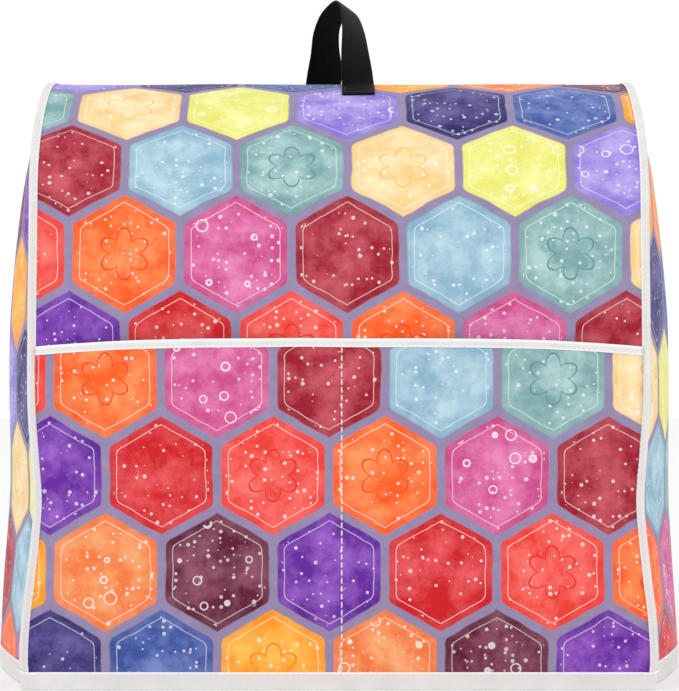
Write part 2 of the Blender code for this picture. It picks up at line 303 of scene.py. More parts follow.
# The looks of weave, tape, webbing and thread
PRINT_WEAVE = 0.0007
PRINT_WEAVE_STRENGTH = 0.18
PRINT_WEAVE_DEPTH = 0.0003
PRINT_ROUGHENING = 1.2
TAPE_DARK = Colour(212, 210, 208)
TAPE_LIGHT = Colour(236, 235, 233)
# Painted light and shade on the tape: this bright near a sewn edge, fading over about a millimetre to the
# darker mottled colour, which stands as painted shade towards the fold
TAPE_PAINTED_LIGHT = Colour(246, 246, 246)
TAPE_PAINTED_LIGHT_START = 0.0008
TAPE_PAINTED_LIGHT_END = 0.0018
TAPE_RIB = 0.0008
TAPE_RIB_SHARE = 0.3
WEBBING_RIB = 0.0016
WEBBING_RIB_SHARE = 0.6
WEBBING_TWILL = 0.0012
WEBBING_TWILL_SHARE = 0.5
WEBBING_TWILL_LEAN = 1.6
WEBBING_LOW = -1.0
WEBBING_HIGH = 1.1
# Painted shade in the weave's hollows and painted light on its raised parts, set by the weave's height
WEBBING_PAINTED_SHADE = (0.001, 0.001, 0.0012, 1.0)
WEBBING_PAINTED_LIGHT = (0.0045, 0.0045, 0.0048, 1.0)
WHITE_THREAD = Colour(238, 236, 230)
BLACK_THREAD = (0.02, 0.02, 0.021, 1.0)
# How dark the painted shade in the thread's twist grooves is
THREAD_SHADE = 0.8

# The stage
FLOOR_HALF_SIDE = 6.0
FLOOR_COLOUR = (0.95, 0.95, 0.95, 1.0)
WHITE = (1.0, 1.0, 1.0, 1.0)
LAMP_TARGET = (0, 0, 0.2)
Lamp = namedtuple("Lamp", "name place size power")
LAMPS = (
    Lamp("key", (-1.3, -2.2, 1.7), (1.6, 1.2), 10),
    Lamp("fill", (1.6, -1.9, 1.2), (1.4, 1.2), 3),
)

# The camera, as found from the photo's outline: level, with the horizon a little below the middle
CAMERA_DEPTH = 1.681
CAMERA_HEIGHT = 0.222
FOCAL_PIXELS = 2370
IMAGE_WIDTH = 679
IMAGE_HEIGHT = 691
HORIZON_ROW = 350.0
CENTRE_COLUMN = 339.0
SENSOR = 36.0
CLIP_START = 0.05


def shoulder_length():
    """The length of a quarter of the top's ellipse, by Ramanujan's formula."""
    deep, tall = SHOULDER_DEPTH, SHOULDER_RISE
    return math.pi / 4 * (3 * (deep + tall) - math.sqrt((3 * deep + tall) * (deep + 3 * tall)))


SHOULDER_LENGTH = shoulder_length()
WALL_RUN = SHOULDER_LENGTH + SPRING_HEIGHT


# Surfaces


def between(before, start, end, after, share):
    """A smooth value between start and end, which also looks at the values before and after them."""
    bend = 2 * before - 5 * start + 4 * end - after
    twist = 3 * start - before - 3 * end + after
    return start + 0.5 * share * (end - before + share * (bend + share * twist))


def clamp(value, low=0.0, high=1.0):
    return min(max(value, low), high)


def level_at(height):
    """The cover's half widths and half depth at a height, on a smooth curve through LEVELS."""
    last = len(LEVELS) - 2
    index = 0
    while index < last and LEVELS[index + 1].height <= height:
        index += 1
    start, end = LEVELS[index], LEVELS[index + 1]
    share = clamp((height - start.height) / (end.height - start.height))
    before, after = LEVELS[max(index - 1, 0)], LEVELS[min(index + 2, len(LEVELS) - 1)]
    return Level(*(between(*values, share) for values in zip(before, start, end, after)))


def arch(run):
    """The strip's middle at a distance from the crest, negative to the front, and its outward direction."""
    way = -1 if run < 0 else 1
    far = abs(run)
    if far >= SHOULDER_LENGTH:
        height = WALL_RUN - far
        return Vector((0, way * level_at(height).seam_half_depth, height)), Vector((0, way, 0))
    turn = far / SHOULDER_LENGTH * math.pi / 2
    height = SPRING_HEIGHT + SHOULDER_RISE * math.cos(turn)
    out = Vector((0, way * math.sin(turn) / SHOULDER_DEPTH, math.cos(turn) / SHOULDER_RISE))
    return Vector((0, way * SHOULDER_DEPTH * math.sin(turn), height)), out.normalized()


def seam_frame(run, side):
    """The seam's line at a run, the way out along its flange, and the way from its middle to the strip."""
    place, out = arch(run)
    aside = Vector((side, 0, 0))
    place += aside * level_at(place.z).seam_half_width
    lean = CREST_LEAN + (WALL_LEAN - CREST_LEAN) * min(abs(run) / SHOULDER_LENGTH, 1.0)
    flange = aside * math.sin(lean) + out * math.cos(lean)
    to_strip = out * math.sin(lean) - aside * math.cos(lean)
    return place, flange, to_strip


def seam_point(run, side, along, across):
    """A point by the raised seam: so far out along it, and so far from its middle towards the strip."""
    place, flange, to_strip = seam_frame(run, side)
    return place + flange * along + to_strip * across


def noise_at(kind, across, along, side=1):
    """The smooth noise of one kind of unevenness, at a place on the cloth."""
    return noise.noise(Vector((across * kind.across, along * kind.along, side * kind.layer)))


def above_hem(run):
    """0 where the hem keeps the cloth even, rising to 1 above it."""
    return clamp((WALL_RUN - abs(run) - STIFF_FOOT) / RIPPLE_FADE)


def ripple(across, run):
    """The strip's slight unevenness, and its puckers by a seam. Both die away at the seam itself."""
    inside = 1 - abs(across)
    calm = clamp(inside / STRIP_RIPPLE_EDGE) * above_hem(run)
    puckers = math.sin(run * PUCKER_WAVES + PUCKER_DRIFT.depth * noise_at(PUCKER_DRIFT, across, run))
    near_seam = math.exp(-((inside / PUCKER_BAND) ** 2)) * clamp(inside / PUCKER_EDGE)
    waves = STRIP_RIPPLE.depth * calm * noise_at(STRIP_RIPPLE, across, run)
    return waves + PUCKER_DEPTH * near_seam * puckers


def belly(run):
    """How far the middle of the strip swells outwards: a little in front, more behind, and not on top."""
    share = min(abs(run) / SHOULDER_LENGTH, 1.0) ** 2
    upright = clamp((WALL_RUN - abs(run)) / SPRING_HEIGHT)
    swell = FRONT_BELLY if run < 0 else BACK_BELLY
    return swell * share * math.sin(math.pi * upright)


def strip_point(across, run):
    """The strip's middle surface. Across is -1 and 1 at the seams, and -2 and 2 at the flanges' tips."""
    side = 1 if across > 0 else -1
    if abs(across) > 1:
        return seam_point(run, side, FLANGE, LAYER)
    place = seam_point(run, side, -BEND, LAYER)
    place.x *= abs(across)
    return place + arch(run)[1] * (belly(run) * (1 - across**2) + ripple(across, run))


def side_point(side, across, run):
    """A side panel's middle surface. Across is -1 at the front seam, 0 at the crease and 1 at the back."""
    way = -1 if across < 0 else 1
    if abs(across) > 1:
        return seam_point(way * run, side, FLANGE, -LAYER)
    edge = seam_point(way * run, side, -BEND, -LAYER)
    crease_height = min(edge.z, SPRING_HEIGHT) + max(edge.z - SPRING_HEIGHT, 0) * CREASE_TOP_SHARE
    crease = Vector((side * level_at(crease_height).crease_half_width, 0, crease_height))
    share = 1 - abs(across)
    point = edge.lerp(crease, share)
    point.x = edge.x + (crease.x - edge.x) * (1 - (1 - share) ** CREASE_SOFTNESS)
    calm = clamp(share / SIDE_RIPPLE_EDGE) * above_hem(run) * clamp(run / RIPPLE_FADE)
    point.x += side * SIDE_RIPPLE.depth * calm * noise_at(SIDE_RIPPLE, across, run, side)
    return point


def pocket_height(across):
    """The height of the pocket cloth's top edge, which droops towards both ends."""
    wave = POCKET_TOP_WAVE.depth * noise_at(POCKET_TOP_WAVE, across, 1) * (1 - across**2)
    return POCKET_TOP - POCKET_DROOP * abs(across) ** DROOP_POWER + wave


def pocket_point(across, drop, outward=0.0):
    """The pocket's middle surface, so far below its top edge. Each of its two halves gapes at its mouth."""
    top = pocket_height(across)
    height = top - drop
    share = clamp((height - CLOTH_FOOT) / (top - CLOTH_FOOT))
    run = height - WALL_RUN
    level = level_at(height)
    x = across * (level.seam_half_width - POCKET_SIDE_CLEAR)
    behind = strip_point(x / level.seam_half_width, run)
    stand_off = POCKET_LAYER + (POCKET_STAND_OFF - POCKET_LAYER) * share**2
    gape = MOUTH_GAPE * math.sin(math.pi * across) ** 2 * share**GAPE_POWER
    loose = POCKET_RIPPLE.depth * share * noise_at(POCKET_RIPPLE, across, height) ** 2
    return Vector((x, behind.y - stand_off - gape - loose - outward, height))


def strap_station(place):
    """The strap's smooth middle line and turn at a place counted in stations."""
    index = min(int(place), len(STRAP) - 2)
    before, after = STRAP[max(index - 1, 0)], STRAP[min(index + 2, len(STRAP) - 1)]
    values = zip(before, STRAP[index], STRAP[index + 1], after)
    return Lift(*(between(*four, place - index) for four in values))


def strap_point(across, place):
    """The strap's middle surface, across from -1 to 1, which lies on the arched top at both feet."""
    lift = strap_station(place)
    turn = math.radians(lift.turn)
    tilt = STRAP_TILT * min((lift.rise - STRAP_SEAT) / STRAP_TILT_RISE, 1.0)
    width = Vector((math.cos(turn), math.sin(turn), -tilt * math.sin(turn)))
    x, y = Vector((lift.aside, lift.depth)) + width.xy * across * lift.width / 2
    top = SPRING_HEIGHT + SHOULDER_RISE * math.sqrt(1 - (y / SHOULDER_DEPTH) ** 2)
    return Vector((x, y, top + lift.rise + width.z * across * lift.width / 2))


# Meshes


def steps(start, end, count):
    """Evenly spaced values from start to end, both included."""
    return [start + (end - start) * index / count for index in range(count + 1)]


def wall_runs(foot):
    """Distances from the crest, from a foot height up one wall and round one shoulder to the crest."""
    wall = steps(WALL_RUN - foot, SHOULDER_LENGTH, WALL_ROWS)
    return [*wall, *steps(SHOULDER_LENGTH, 0, SHOULDER_ROWS)[1:]]


def over_the_top(runs):
    """The runs of one wall, made to go on from front to back."""
    return [-run for run in runs] + runs[-2::-1]


def finish_piece(name, mesh, node, look):
    """Links a mesh as a piece that rides on the part, with its material, and hides the imported part that it
    stands for.
    """
    mesh.materials.append(look)
    mesh.shade_smooth()
    piece = bpy.data.objects.new(name, mesh)
    bpy.context.scene.collection.objects.link(piece)
    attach(piece, "root")
    if node:
        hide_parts(node)
    return piece


def sheet(name, node, columns, rows, place, thickness, look, cloth_map):
    """One piece of cloth: place(column, row) gives its middle surface, and Solidify its thickness.

    Its UV map is the flat cloth in metres, as cloth_map(column, row, point) gives it.
    """
    form = bmesh.new()
    last_column, last_row = len(columns) - 1, len(rows) - 1
    bmesh.ops.create_grid(form, x_segments=last_column, y_segments=last_row, size=1.0)
    layer = form.loops.layers.uv.new("cloth")
    spots = {}
    for vertex in form.verts:
        column = columns[round((vertex.co.x + 1) / 2 * last_column)]
        row = rows[round((vertex.co.y + 1) / 2 * last_row)]
        vertex.co = place(column, row)
        spots[vertex] = (column, row)
    for face in form.faces:
        for loop in face.loops:
            loop[layer].uv = cloth_map(*spots[loop.vert], loop.vert.co)
    bmesh.ops.remove_doubles(form, verts=form.verts, dist=MERGE)
    bmesh.ops.recalc_face_normals(form, faces=form.faces)
    mesh = bpy.data.meshes.new(name)
    form.to_mesh(mesh)
    form.free()
    piece = finish_piece(name, mesh, node, look)
    solidify = piece.modifiers.new("thickness", "SOLIDIFY")
    solidify.thickness = thickness
    solidify.offset = 0.0
    solidify.use_even_offset = True
    return piece


def stand_on_floor(piece):
    """Makes the piece's thickness real and flattens what would sink into the floor."""
    mesh = bpy.data.meshes.new_from_object(piece.evaluated_get(bpy.context.evaluated_depsgraph_get()))
    for vertex in mesh.vertices:
        vertex.co.z = max(vertex.co.z, 0)
    piece.modifiers.clear()
    piece.data = mesh


def fold_points(reach, tip):
    """The half round of a folded tape's section, as points (along, across) from one leg to the other."""
    turn = [math.radians(angle) for angle in range(90, -91, -FOLD_STEP)]
    return [(tip - reach + reach * math.cos(angle), reach * math.sin(angle)) for angle in turn]


def folded_tape(near_start, far_start, reach, tip):
    """A tape's section, folded over an edge: points (along, across) down one leg, round the fold and back."""
    fold = fold_points(reach, tip)
    leg_end = fold[0][0]
    back_start = fold[-1][0]
    near_leg = [(near_start + (leg_end - near_start) * share, reach) for share in LEG_SHARES]
    far_leg = [(far_start + (back_start - far_start) * share, -reach) for share in LEG_SHARES[::-1]]
    return near_leg + fold + far_leg


def stitch_spans(path, length, space):
    """Each stitch's first and last point and outward way, along a path of pairs of point and outward way."""
    marks = [0.0]
    for (point, _), (after, _) in zip(path, path[1:]):
        marks.append(marks[-1] + (after - point).length)

    def at(distance):
        index = min(max(bisect(marks, distance) - 1, 0), len(path) - 2)
        share = (distance - marks[index]) / max(marks[index + 1] - marks[index], MERGE)
        (point, out), (after, _) = path[index], path[index + 1]
        return point.lerp(after, clamp(share)), out

    spans = []
    for number in range(int((marks[-1] + space) / (length + space))):
        begin = number * (length + space)
        first, out = at(begin)
        last, _ = at(begin + length)
        spans.append((first, last, out))
    return spans


def add_stitch(form, first, last, out, radius):
    """One stitch: a low bead of thread whose ends dip into the cloth."""
    along = last - first
    out = (out - along * out.dot(along) / along.length_squared).normalized()
    across = along.normalized().cross(out)
    loops = []
    for ring in STITCH_RINGS:
        lift = STITCH_LIFT - STITCH_DIP * abs(ring.place)
        middle = (first + last) / 2 + along * ring.place + out * radius * lift
        loop = []
        for index in range(STITCH_SIDES):
            angle = 2 * math.pi * index / STITCH_SIDES
            spoke = across * math.cos(angle) + out * math.sin(angle) * STITCH_FLATNESS
            loop.append(form.verts.new(middle + spoke * radius * ring.thickness))
        loops.append(loop)
    for loop, following in zip(loops, loops[1:]):
        for index in range(STITCH_SIDES):
            other = (index + 1) % STITCH_SIDES
            form.faces.new((loop[index], loop[other], following[other], following[index]))
    form.faces.new(loops[0][::-1])
    form.faces.new(loops[-1])


def sew(name, path, thread, length=STITCH, space=STITCH_SPACE, radius=THREAD):
    """A row of stitches along a path, as a piece of its own. A stitch squeezed by a corner is left out."""
    form = bmesh.new()
    for first, last, out in stitch_spans(path, length, space):
        if (last - first).length >= length / 2:
            add_stitch(form, first, last, out, radius)
    bmesh.ops.recalc_face_normals(form, faces=form.faces)
    mesh = bpy.data.meshes.new(name)
    form.to_mesh(mesh)
    form.free()
    return finish_piece(name, mesh, None, thread)


# Materials


class Nodes:
    """A small helper that adds nodes to a material and links them."""

    def __init__(self, name):
        self.material = bpy.data.materials.new(name)
        self.material.use_nodes = True
        self.tree = self.material.node_tree
        self.shader = self.tree.nodes["Principled BSDF"]

    def put(self, socket, value):
        """Links a value that comes from another node, and sets any other."""
        if isinstance(value, bpy.types.NodeSocket):
            self.tree.links.new(value, socket)
        else:
            socket.default_value = value

    def add(self, kind, inputs=(), **settings):
        node = self.tree.nodes.new(kind)
        for key, value in settings.items():
            setattr(node, key, value)
        for key, value in dict(inputs).items():
            self.put(node.inputs[key], value)
        return node

    def cloth_map(self):
        return self.add("ShaderNodeUVMap", uv_map="cloth").outputs[0]

    def math(self, operation, first, second=0.0, third=0.0):
        inputs = {0: first, 1: second, 2: third}
        return self.add("ShaderNodeMath", inputs, operation=operation).outputs[0]

    def near(self, value, target, margin):
        """1 where a value is within a margin of its target, and 0 elsewhere."""
        off = self.math("ABSOLUTE", self.math("SUBTRACT", value, target))
        return self.math("LESS_THAN", off, margin)

    def wave(self, distance, pitch):
        """A sine along a distance, which repeats at a pitch."""
        return self.math("SINE", self.math("MULTIPLY", distance, 2 * math.pi / pitch))

    def vector(self, operation, first, second=(0, 0, 0)):
        return self.add("ShaderNodeVectorMath", {0: first, 1: second}, operation=operation).outputs[0]

    def measure(self, operation, first, second=(0, 0, 0)):
        """The number that comes of vectors, such as a length."""
        return self.add("ShaderNodeVectorMath", {0: first, 1: second}, operation=operation).outputs[1]

    def scaled(self, vector, factor):
        return self.add("ShaderNodeVectorMath", {0: vector, "Scale": factor}, operation="SCALE").outputs[0]

    def split(self, vector):
        return self.add("ShaderNodeSeparateXYZ", {0: vector}).outputs

    def cloud(self, place, scale, detail):
        """Smooth noise."""
        return self.add("ShaderNodeTexNoise", {"Vector": place, "Scale": scale, "Detail": detail}).outputs[0]

    def cells(self, place, scale, randomness):
        """The distance from the middle of the nearest of many cells, and that cell's own random values."""
        inputs = {"Vector": place, "Scale": scale, "Randomness": randomness}
        node = self.add("ShaderNodeTexVoronoi", inputs)
        return node.outputs["Distance"], self.split(node.outputs["Color"])

    def ramp(self, value, start, end, low=0.0, high=1.0):
        """Goes from low to high as a value goes from start to end."""
        inputs = {0: value, "From Min": start, "From Max": end, "To Min": low, "To Max": high}
        return self.add("ShaderNodeMapRange", inputs).outputs[0]

    def mix(self, factor, first, second, blend="MIX"):
        inputs = {0: factor, 6: first, 7: second}
        return self.add("ShaderNodeMix", inputs, data_type="RGBA", blend_type=blend).outputs[2]

    def deeper(self, colour, share):
        return self.mix(share, colour, colour, "MULTIPLY")

    def choose(self, factor, first, second):
        """A vector that is the first where factor is 0 and the second where it is 1."""
        return self.add("ShaderNodeMix", {0: factor, 4: first, 5: second}, data_type="VECTOR").outputs[1]

    def bump(self, height, strength, distance):
        inputs = {"Height": height, "Strength": strength, "Distance": distance}
        return self.add("ShaderNodeBump", inputs).outputs[0]

    def set(self, **values):
        for key, value in values.items():
            self.put(self.shader.inputs[key.replace("_", " ")], value)


def srgb(red, green, blue):
    """A colour given as 0 to 255, in the linear values that a shader takes."""

    def linear(value):
        value /= 255
        return value / 12.92 if value <= 0.04045 else ((value + 0.055) / 1.055) ** 2.4

    return (linear(red), linear(green), linear(blue), 1.0)


def hexagons(nodes, spot):
    """Where a point lies in its hexagon, how far out it is, and the hexagon's own place, all in pitches."""
    tall = math.sqrt(3)
    place = nodes.scaled(spot, 1 / HEXAGON)
    found = []
    for shift in (FAR_PITCHES, FAR_PITCHES + 0.5):
        moved = nodes.vector("ADD", place, (shift, shift * tall, 0.5))
        wrapped = nodes.vector("MODULO", moved, (1.0, tall, 1.0))
        found.append(nodes.vector("SUBTRACT", wrapped, (0.5, tall / 2, 0.5)))
    lengths = [nodes.measure("LENGTH", vector) for vector in found]
    inner = nodes.choose(nodes.math("LESS_THAN", lengths[1], lengths[0]), *found)
    centre = nodes.vector("SUBTRACT", place, inner)
    side = nodes.vector("ABSOLUTE", inner)
    slanted = nodes.measure("DOT_PRODUCT", side, (0.5, tall / 2, 0.0))
    reach = nodes.math("SMOOTH_MAX", slanted, nodes.split(side)[0], CORNER_ROUNDING)
    return inner, reach, centre


def patch_colour(nodes, centre):
    """The number of a hexagon's colour, which follows from its column and row, and the colour."""
    parts = nodes.split(centre)
    column = nodes.math("ROUND", nodes.math("MULTIPLY", parts[0], 2.0))
    row = nodes.math("ROUND", nodes.math("MULTIPLY", parts[1], 2 / math.sqrt(3)))
    column_code = nodes.math("MULTIPLY", column, COLUMN_COLOURS)
    row_code = nodes.math("MULTIPLY", row, ROW_COLOURS)
    code = nodes.math("ROUND", nodes.math("ADD", column_code, row_code))
    count = len(PATCHES)
    patch = nodes.math("FLOORED_MODULO", code, float(count))
    shade = nodes.math("DIVIDE", nodes.math("ADD", patch, 0.5), float(count))
    table = nodes.add("ShaderNodeValToRGB", {0: shade})
    bands = table.color_ramp
    bands.interpolation = "CONSTANT"
    while len(bands.elements) < count:
        bands.elements.new(0.5)
    for index, colour in enumerate(PATCHES):
        bands.elements[index].position = index / count
        bands.elements[index].color = srgb(*colour)
    return patch, table.outputs[0]


def dye(nodes, base, own, reach):
    """A patch's colour, mottled like dyed cloth and deeper towards the patch's rim."""
    inputs = {"Vector": own, "Scale": 42.0, "Detail": 7.0, "Roughness": 0.66}
    mottle = nodes.add("ShaderNodeTexNoise", inputs).outputs[0]
    depth = nodes.ramp(mottle, MOTTLE_LOW, MOTTLE_HIGH)
    darker = nodes.mix(MOTTLE_DARK_SHARE, base, nodes.deeper(base, MOTTLE_DEPTH))
    screened = nodes.mix(MOTTLE_LIGHT_SHARE, base, base, "SCREEN")
    dyed = nodes.mix(depth, darker, nodes.mix(DUST_SHARE, screened, DUST))
    rim = nodes.ramp(reach, RIM_START, RIM_END, 0.0, RIM_STRENGTH)
    return nodes.mix(rim, dyed, nodes.deeper(base, RIM_DEPTH))


def motifs(nodes, dyed, base, inner, own, patch, reach):
    """Motifs printed tone on tone: dots and a thin border on each patch, and on some rings or a flower."""
    pale = nodes.mix(PALE_SHARE, base, PALE)
    deep = nodes.deeper(base, DEEP_SHARE)
    kind = nodes.math("FLOORED_MODULO", patch, MOTIF_KINDS)
    distance, values = nodes.cells(own, scale=235.0, randomness=0.8)
    dots = nodes.math("LESS_THAN", distance, nodes.math("MULTIPLY", values[0], DOT_SIZE))
    distance, values = nodes.cells(own, scale=62.0, randomness=0.55)
    size = nodes.math("ADD", nodes.math("MULTIPLY", values[1], RING_SPREAD), RING_LEAST)
    rings = nodes.near(distance, size, RING_LINE)
    parts = nodes.split(inner)
    angle = nodes.math("ARCTAN2", parts[1], parts[0])
    petal = nodes.math("ABSOLUTE", nodes.math("SINE", nodes.math("MULTIPLY", angle, PETAL_PAIRS)))
    flower = nodes.math("ADD", nodes.math("MULTIPLY", petal, PETAL), FLOWER_WAIST)
    outline = nodes.near(nodes.measure("LENGTH", inner), flower, FLOWER_LINE)
    is_flower = nodes.math("COMPARE", kind, FLOWER_KIND, KIND_MARGIN)
    is_ring = nodes.math("COMPARE", kind, RING_KIND, KIND_MARGIN)
    clear = nodes.math("LESS_THAN", reach, MOTIF_END)
    border = nodes.near(reach, BORDER, BORDER_LINE)
    dyed = nodes.mix(nodes.math("MULTIPLY", dots, nodes.math("MULTIPLY", clear, DOT_STRENGTH)), dyed, pale)
    dyed = nodes.mix(nodes.math("MULTIPLY", nodes.math("MULTIPLY", rings, is_ring), clear), dyed, pale)
    dyed = nodes.mix(nodes.math("MULTIPLY", outline, is_flower), dyed, deep)
    return nodes.mix(nodes.math("MULTIPLY", border, BORDER_STRENGTH), dyed, pale)


def make_print(name, shift):
    """Printed polyester: a hexagon patchwork in many colours on a mottled ground, and a plain weave."""
    nodes = Nodes(name)
    spot = nodes.vector("ADD", nodes.cloth_map(), shift)
    drift = nodes.add("ShaderNodeTexNoise", {"Vector": spot, "Scale": 60.0, "Detail": 2.0}).outputs[1]
    wobble = nodes.scaled(nodes.vector("SUBTRACT", drift, (0.5, 0.5, 0.5)), PRINT_WOBBLE)
    inner, reach, centre = hexagons(nodes, nodes.vector("ADD", spot, wobble))
    patch, base = patch_colour(nodes, centre)
    own = nodes.vector("ADD", spot, nodes.vector("MULTIPLY", centre, OWN_PLACE))
    dyed = motifs(nodes, dye(nodes, base, own, reach), base, inner, own, patch, reach)
    plain = srgb(*GROUND)
    shaded = nodes.mix(GROUND_SHADE_SHARE, plain, GROUND_SHADE, "MULTIPLY")
    ground = nodes.mix(nodes.cloud(spot, scale=90.0, detail=4.0), shaded, plain)
    nodes.set(
        Base_Color=nodes.mix(nodes.ramp(reach, PATCH_END, GROUND_START), dyed, ground),
        Roughness=0.62,
        Sheen_Weight=0.04,
        Sheen_Roughness=0.4,
        Specular_IOR_Level=0.28,
        Normal=print_weave(nodes, spot),
    )
    return nodes.material


def print_weave(nodes, spot):
    """A fine plain weave as bump: threads along both directions of the cloth."""
    parts = nodes.split(spot)
    threads = nodes.math("MULTIPLY", nodes.wave(parts[0], PRINT_WEAVE), nodes.wave(parts[1], PRINT_WEAVE))
    rough = nodes.math("MULTIPLY", nodes.cloud(spot, scale=260.0, detail=3.0), PRINT_ROUGHENING)
    return nodes.bump(nodes.math("ADD", threads, rough), PRINT_WEAVE_STRENGTH, PRINT_WEAVE_DEPTH)


def make_tape():
    """White woven binding tape: painted light along its sewn edges and painted shade towards its fold, fine
    ribs across it and a faint grey mottling.
    """
    nodes = Nodes("white_tape")
    parts = nodes.split(nodes.cloth_map())
    place = nodes.add("ShaderNodeTexCoord").outputs["Object"]
    field = nodes.mix(nodes.cloud(place, scale=45.0, detail=5.0), srgb(*TAPE_DARK), srgb(*TAPE_LIGHT))
    # Painted light: brighter near the tape's sewn edges, fading to the darker mottled colour as painted shade
    # towards the fold
    edge = nodes.ramp(parts[0], TAPE_PAINTED_LIGHT_START, TAPE_PAINTED_LIGHT_END, 1.0, 0.0)
    colour = nodes.mix(edge, field, srgb(*TAPE_PAINTED_LIGHT))
    ribs = nodes.math("MULTIPLY", nodes.wave(parts[1], TAPE_RIB), TAPE_RIB_SHARE)
    height = nodes.math("ADD", nodes.cloud(place, scale=1500.0, detail=2.0), ribs)
    bump = nodes.bump(height, strength=0.25, distance=0.0002)
    nodes.set(Base_Color=colour, Roughness=0.82, Sheen_Weight=0.1, Specular_IOR_Level=0.25, Normal=bump)
    return nodes.material


def make_webbing():
    """Black webbing: ribs along it, broken by a fine twill, with a soft sheen, and painted light on the
    weave's raised parts and painted shade in its hollows.
    """
    nodes = Nodes("black_webbing")
    parts = nodes.split(nodes.cloth_map())
    ribs = nodes.wave(parts[0], WEBBING_RIB)
    along = nodes.math("MULTIPLY", parts[1], 2 * math.pi / WEBBING_TWILL)
    twill = nodes.math("SINE", nodes.math("ADD", along, nodes.math("MULTIPLY", ribs, WEBBING_TWILL_LEAN)))
    rib_height = nodes.math("MULTIPLY", ribs, WEBBING_RIB_SHARE)
    height = nodes.math("ADD", rib_height, nodes.math("MULTIPLY", twill, WEBBING_TWILL_SHARE))
    # Painted light and shade: the colour follows the weave's height, lighter where it is raised and darker in
    # its hollows
    colour = nodes.mix(nodes.ramp(height, WEBBING_LOW, WEBBING_HIGH), WEBBING_PAINTED_SHADE, WEBBING_PAINTED_LIGHT)
    bump = nodes.bump(height, strength=0.5, distance=0.0004)
    nodes.set(Base_Color=colour, Roughness=0.6, Sheen_Weight=0.01, Specular_IOR_Level=0.09, Normal=bump)
    return nodes.material


def make_thread(name, colour):
    """Twisted sewing thread, with painted shade in the twist's grooves."""
    nodes = Nodes(name)
    place = nodes.add("ShaderNodeTexCoord").outputs["Object"]
    twist = nodes.add("ShaderNodeTexWave", {"Vector": place, "Scale": 900.0, "Distortion": 2.0}).outputs[0]
    dark = [part * THREAD_SHADE for part in colour[:3]] + [1.0]
    # Painted shade: darker where the twist's bump is low, in its grooves
    shade = nodes.mix(twist, dark, colour)
    bump = nodes.bump(twist, strength=0.3, distance=0.0001)
    nodes.set(Base_Color=shade, Roughness=0.5, Specular_IOR_Level=0.4, Normal=bump)
    return nodes.material


# Pieces


def make_strip(look):
    """The long cloth strip, up the front, over the top and down the back, with its flanges in the seams."""
    columns = [-2, *steps(-1, 1, STRIP_COLUMNS), 2]
    rows = over_the_top(wall_runs(CLOTH_FOOT))
    piece = sheet(
        "wrap_cloth", "wrap_panel", columns, rows, strip_point, CLOTH, look,
        lambda across, run, point: (point.x, run),
    )


def make_side_panel(name, node, side, look):
    """A side panel. The rows that reach the crest from front and back meet there and are merged."""
    columns = [-2, *steps(-1, 1, 2 * SIDE_COLUMNS), 2]

    def place(across, run):
        return side_point(side, across, run)

    piece = sheet(
        name, node, columns, wall_runs(CLOTH_FOOT), place, CLOTH, look,
        lambda across, run, point: (side * point.y * SIDE_STRETCH, point.z),
    )


def make_pocket(look):
    """The pocket's cloth, from just above the floor up to its top edge."""

    def place(across, share):
        return pocket_point(across, (1 - share) * (pocket_height(across) - CLOTH_FOOT))

    columns = steps(-1, 1, POCKET_COLUMNS)
    piece = sheet(
        "pocket_cloth", "pocket_panel", columns, steps(0, 1, POCKET_ROWS), place, CLOTH, look,
        lambda across, share, point: (point.x, point.z),
    )


def make_pocket_tape(look, thread):
    """Tape folded over the pocket's top edge, with its row of stitches."""
    section = folded_tape(-POCKET_TAPE_LEG, -POCKET_TAPE_LEG, BOUND, GAP + TAPE / 2)

    def place(across, line):
        rise, outward = section[line]
        return pocket_point(across, -rise, outward)

    def cloth_map(across, line, point):
        rise = section[line][0]
        return (min(rise + POCKET_TAPE_LEG, BOUND - rise), point.x)

    columns = steps(-1, 1, 2 * POCKET_COLUMNS)
    lines = range(len(section))
    piece = sheet(
        "pocket_tape", "pocket_binding", columns, lines, place, TAPE, look, cloth_map
    )
    path = []
    for across in steps(-POCKET_STITCH_END, POCKET_STITCH_END, 2 * POCKET_COLUMNS):
        point = pocket_point(across, POCKET_TAPE_LEG - POCKET_STITCH_INSET, BOUND + TAPE / 2)
        path.append((point, Vector((0, -1, 0))))
    row = sew("pocket_tape_stitches", path, thread)


def make_seam_tape(name, node, side, look, thread):
    """Tape folded over a raised seam, from the hem's tape in front to the hem's tape behind."""
    section = folded_tape(STRIP_LEG_START, SIDE_LEG_START, SEAM_REACH, SEAM_TIP)

    def lowest(across):
        to_side = (SEAM_REACH - across) / (2 * SEAM_REACH)
        return WALL_RUN - HEM_STRIP_TOP - (HEM_SIDE_TOP - HEM_STRIP_TOP) * to_side + SEAM_TUCK

    def place(line, run):
        along, across = section[line]
        low = lowest(across)
        return seam_point(clamp(run, -low, low), side, along, across)

    runs = over_the_top(wall_runs(0))
    piece = sheet(
        name, node, range(len(section)), runs, place, TAPE, look,
        lambda line, run, point: (section[line][0] - STRIP_LEG_START, run),
    )
    legs = (("_stitches_front", 1, STRIP_LEG_START), ("_stitches_side", -1, SIDE_LEG_START))
    for ending, way, start in legs:
        path = []
        for run in steps(-WALL_RUN + HEM_SIDE_TOP, WALL_RUN - HEM_SIDE_TOP, SEAM_STITCH_STEPS):
            point, flange, to_strip = seam_frame(run, side)
            out = to_strip * way
            path.append((point + flange * (start + SEAM_STITCH_INSET) + out * (SEAM_REACH + TAPE / 2), out))
        sew(name + ending, path, thread)


def strip_outer(way):
    """How far the hem's outer leg lies out from the strip, where the front also holds the pocket."""
    return BOUND + (POCKET_LAYER if way < 0 else 0)


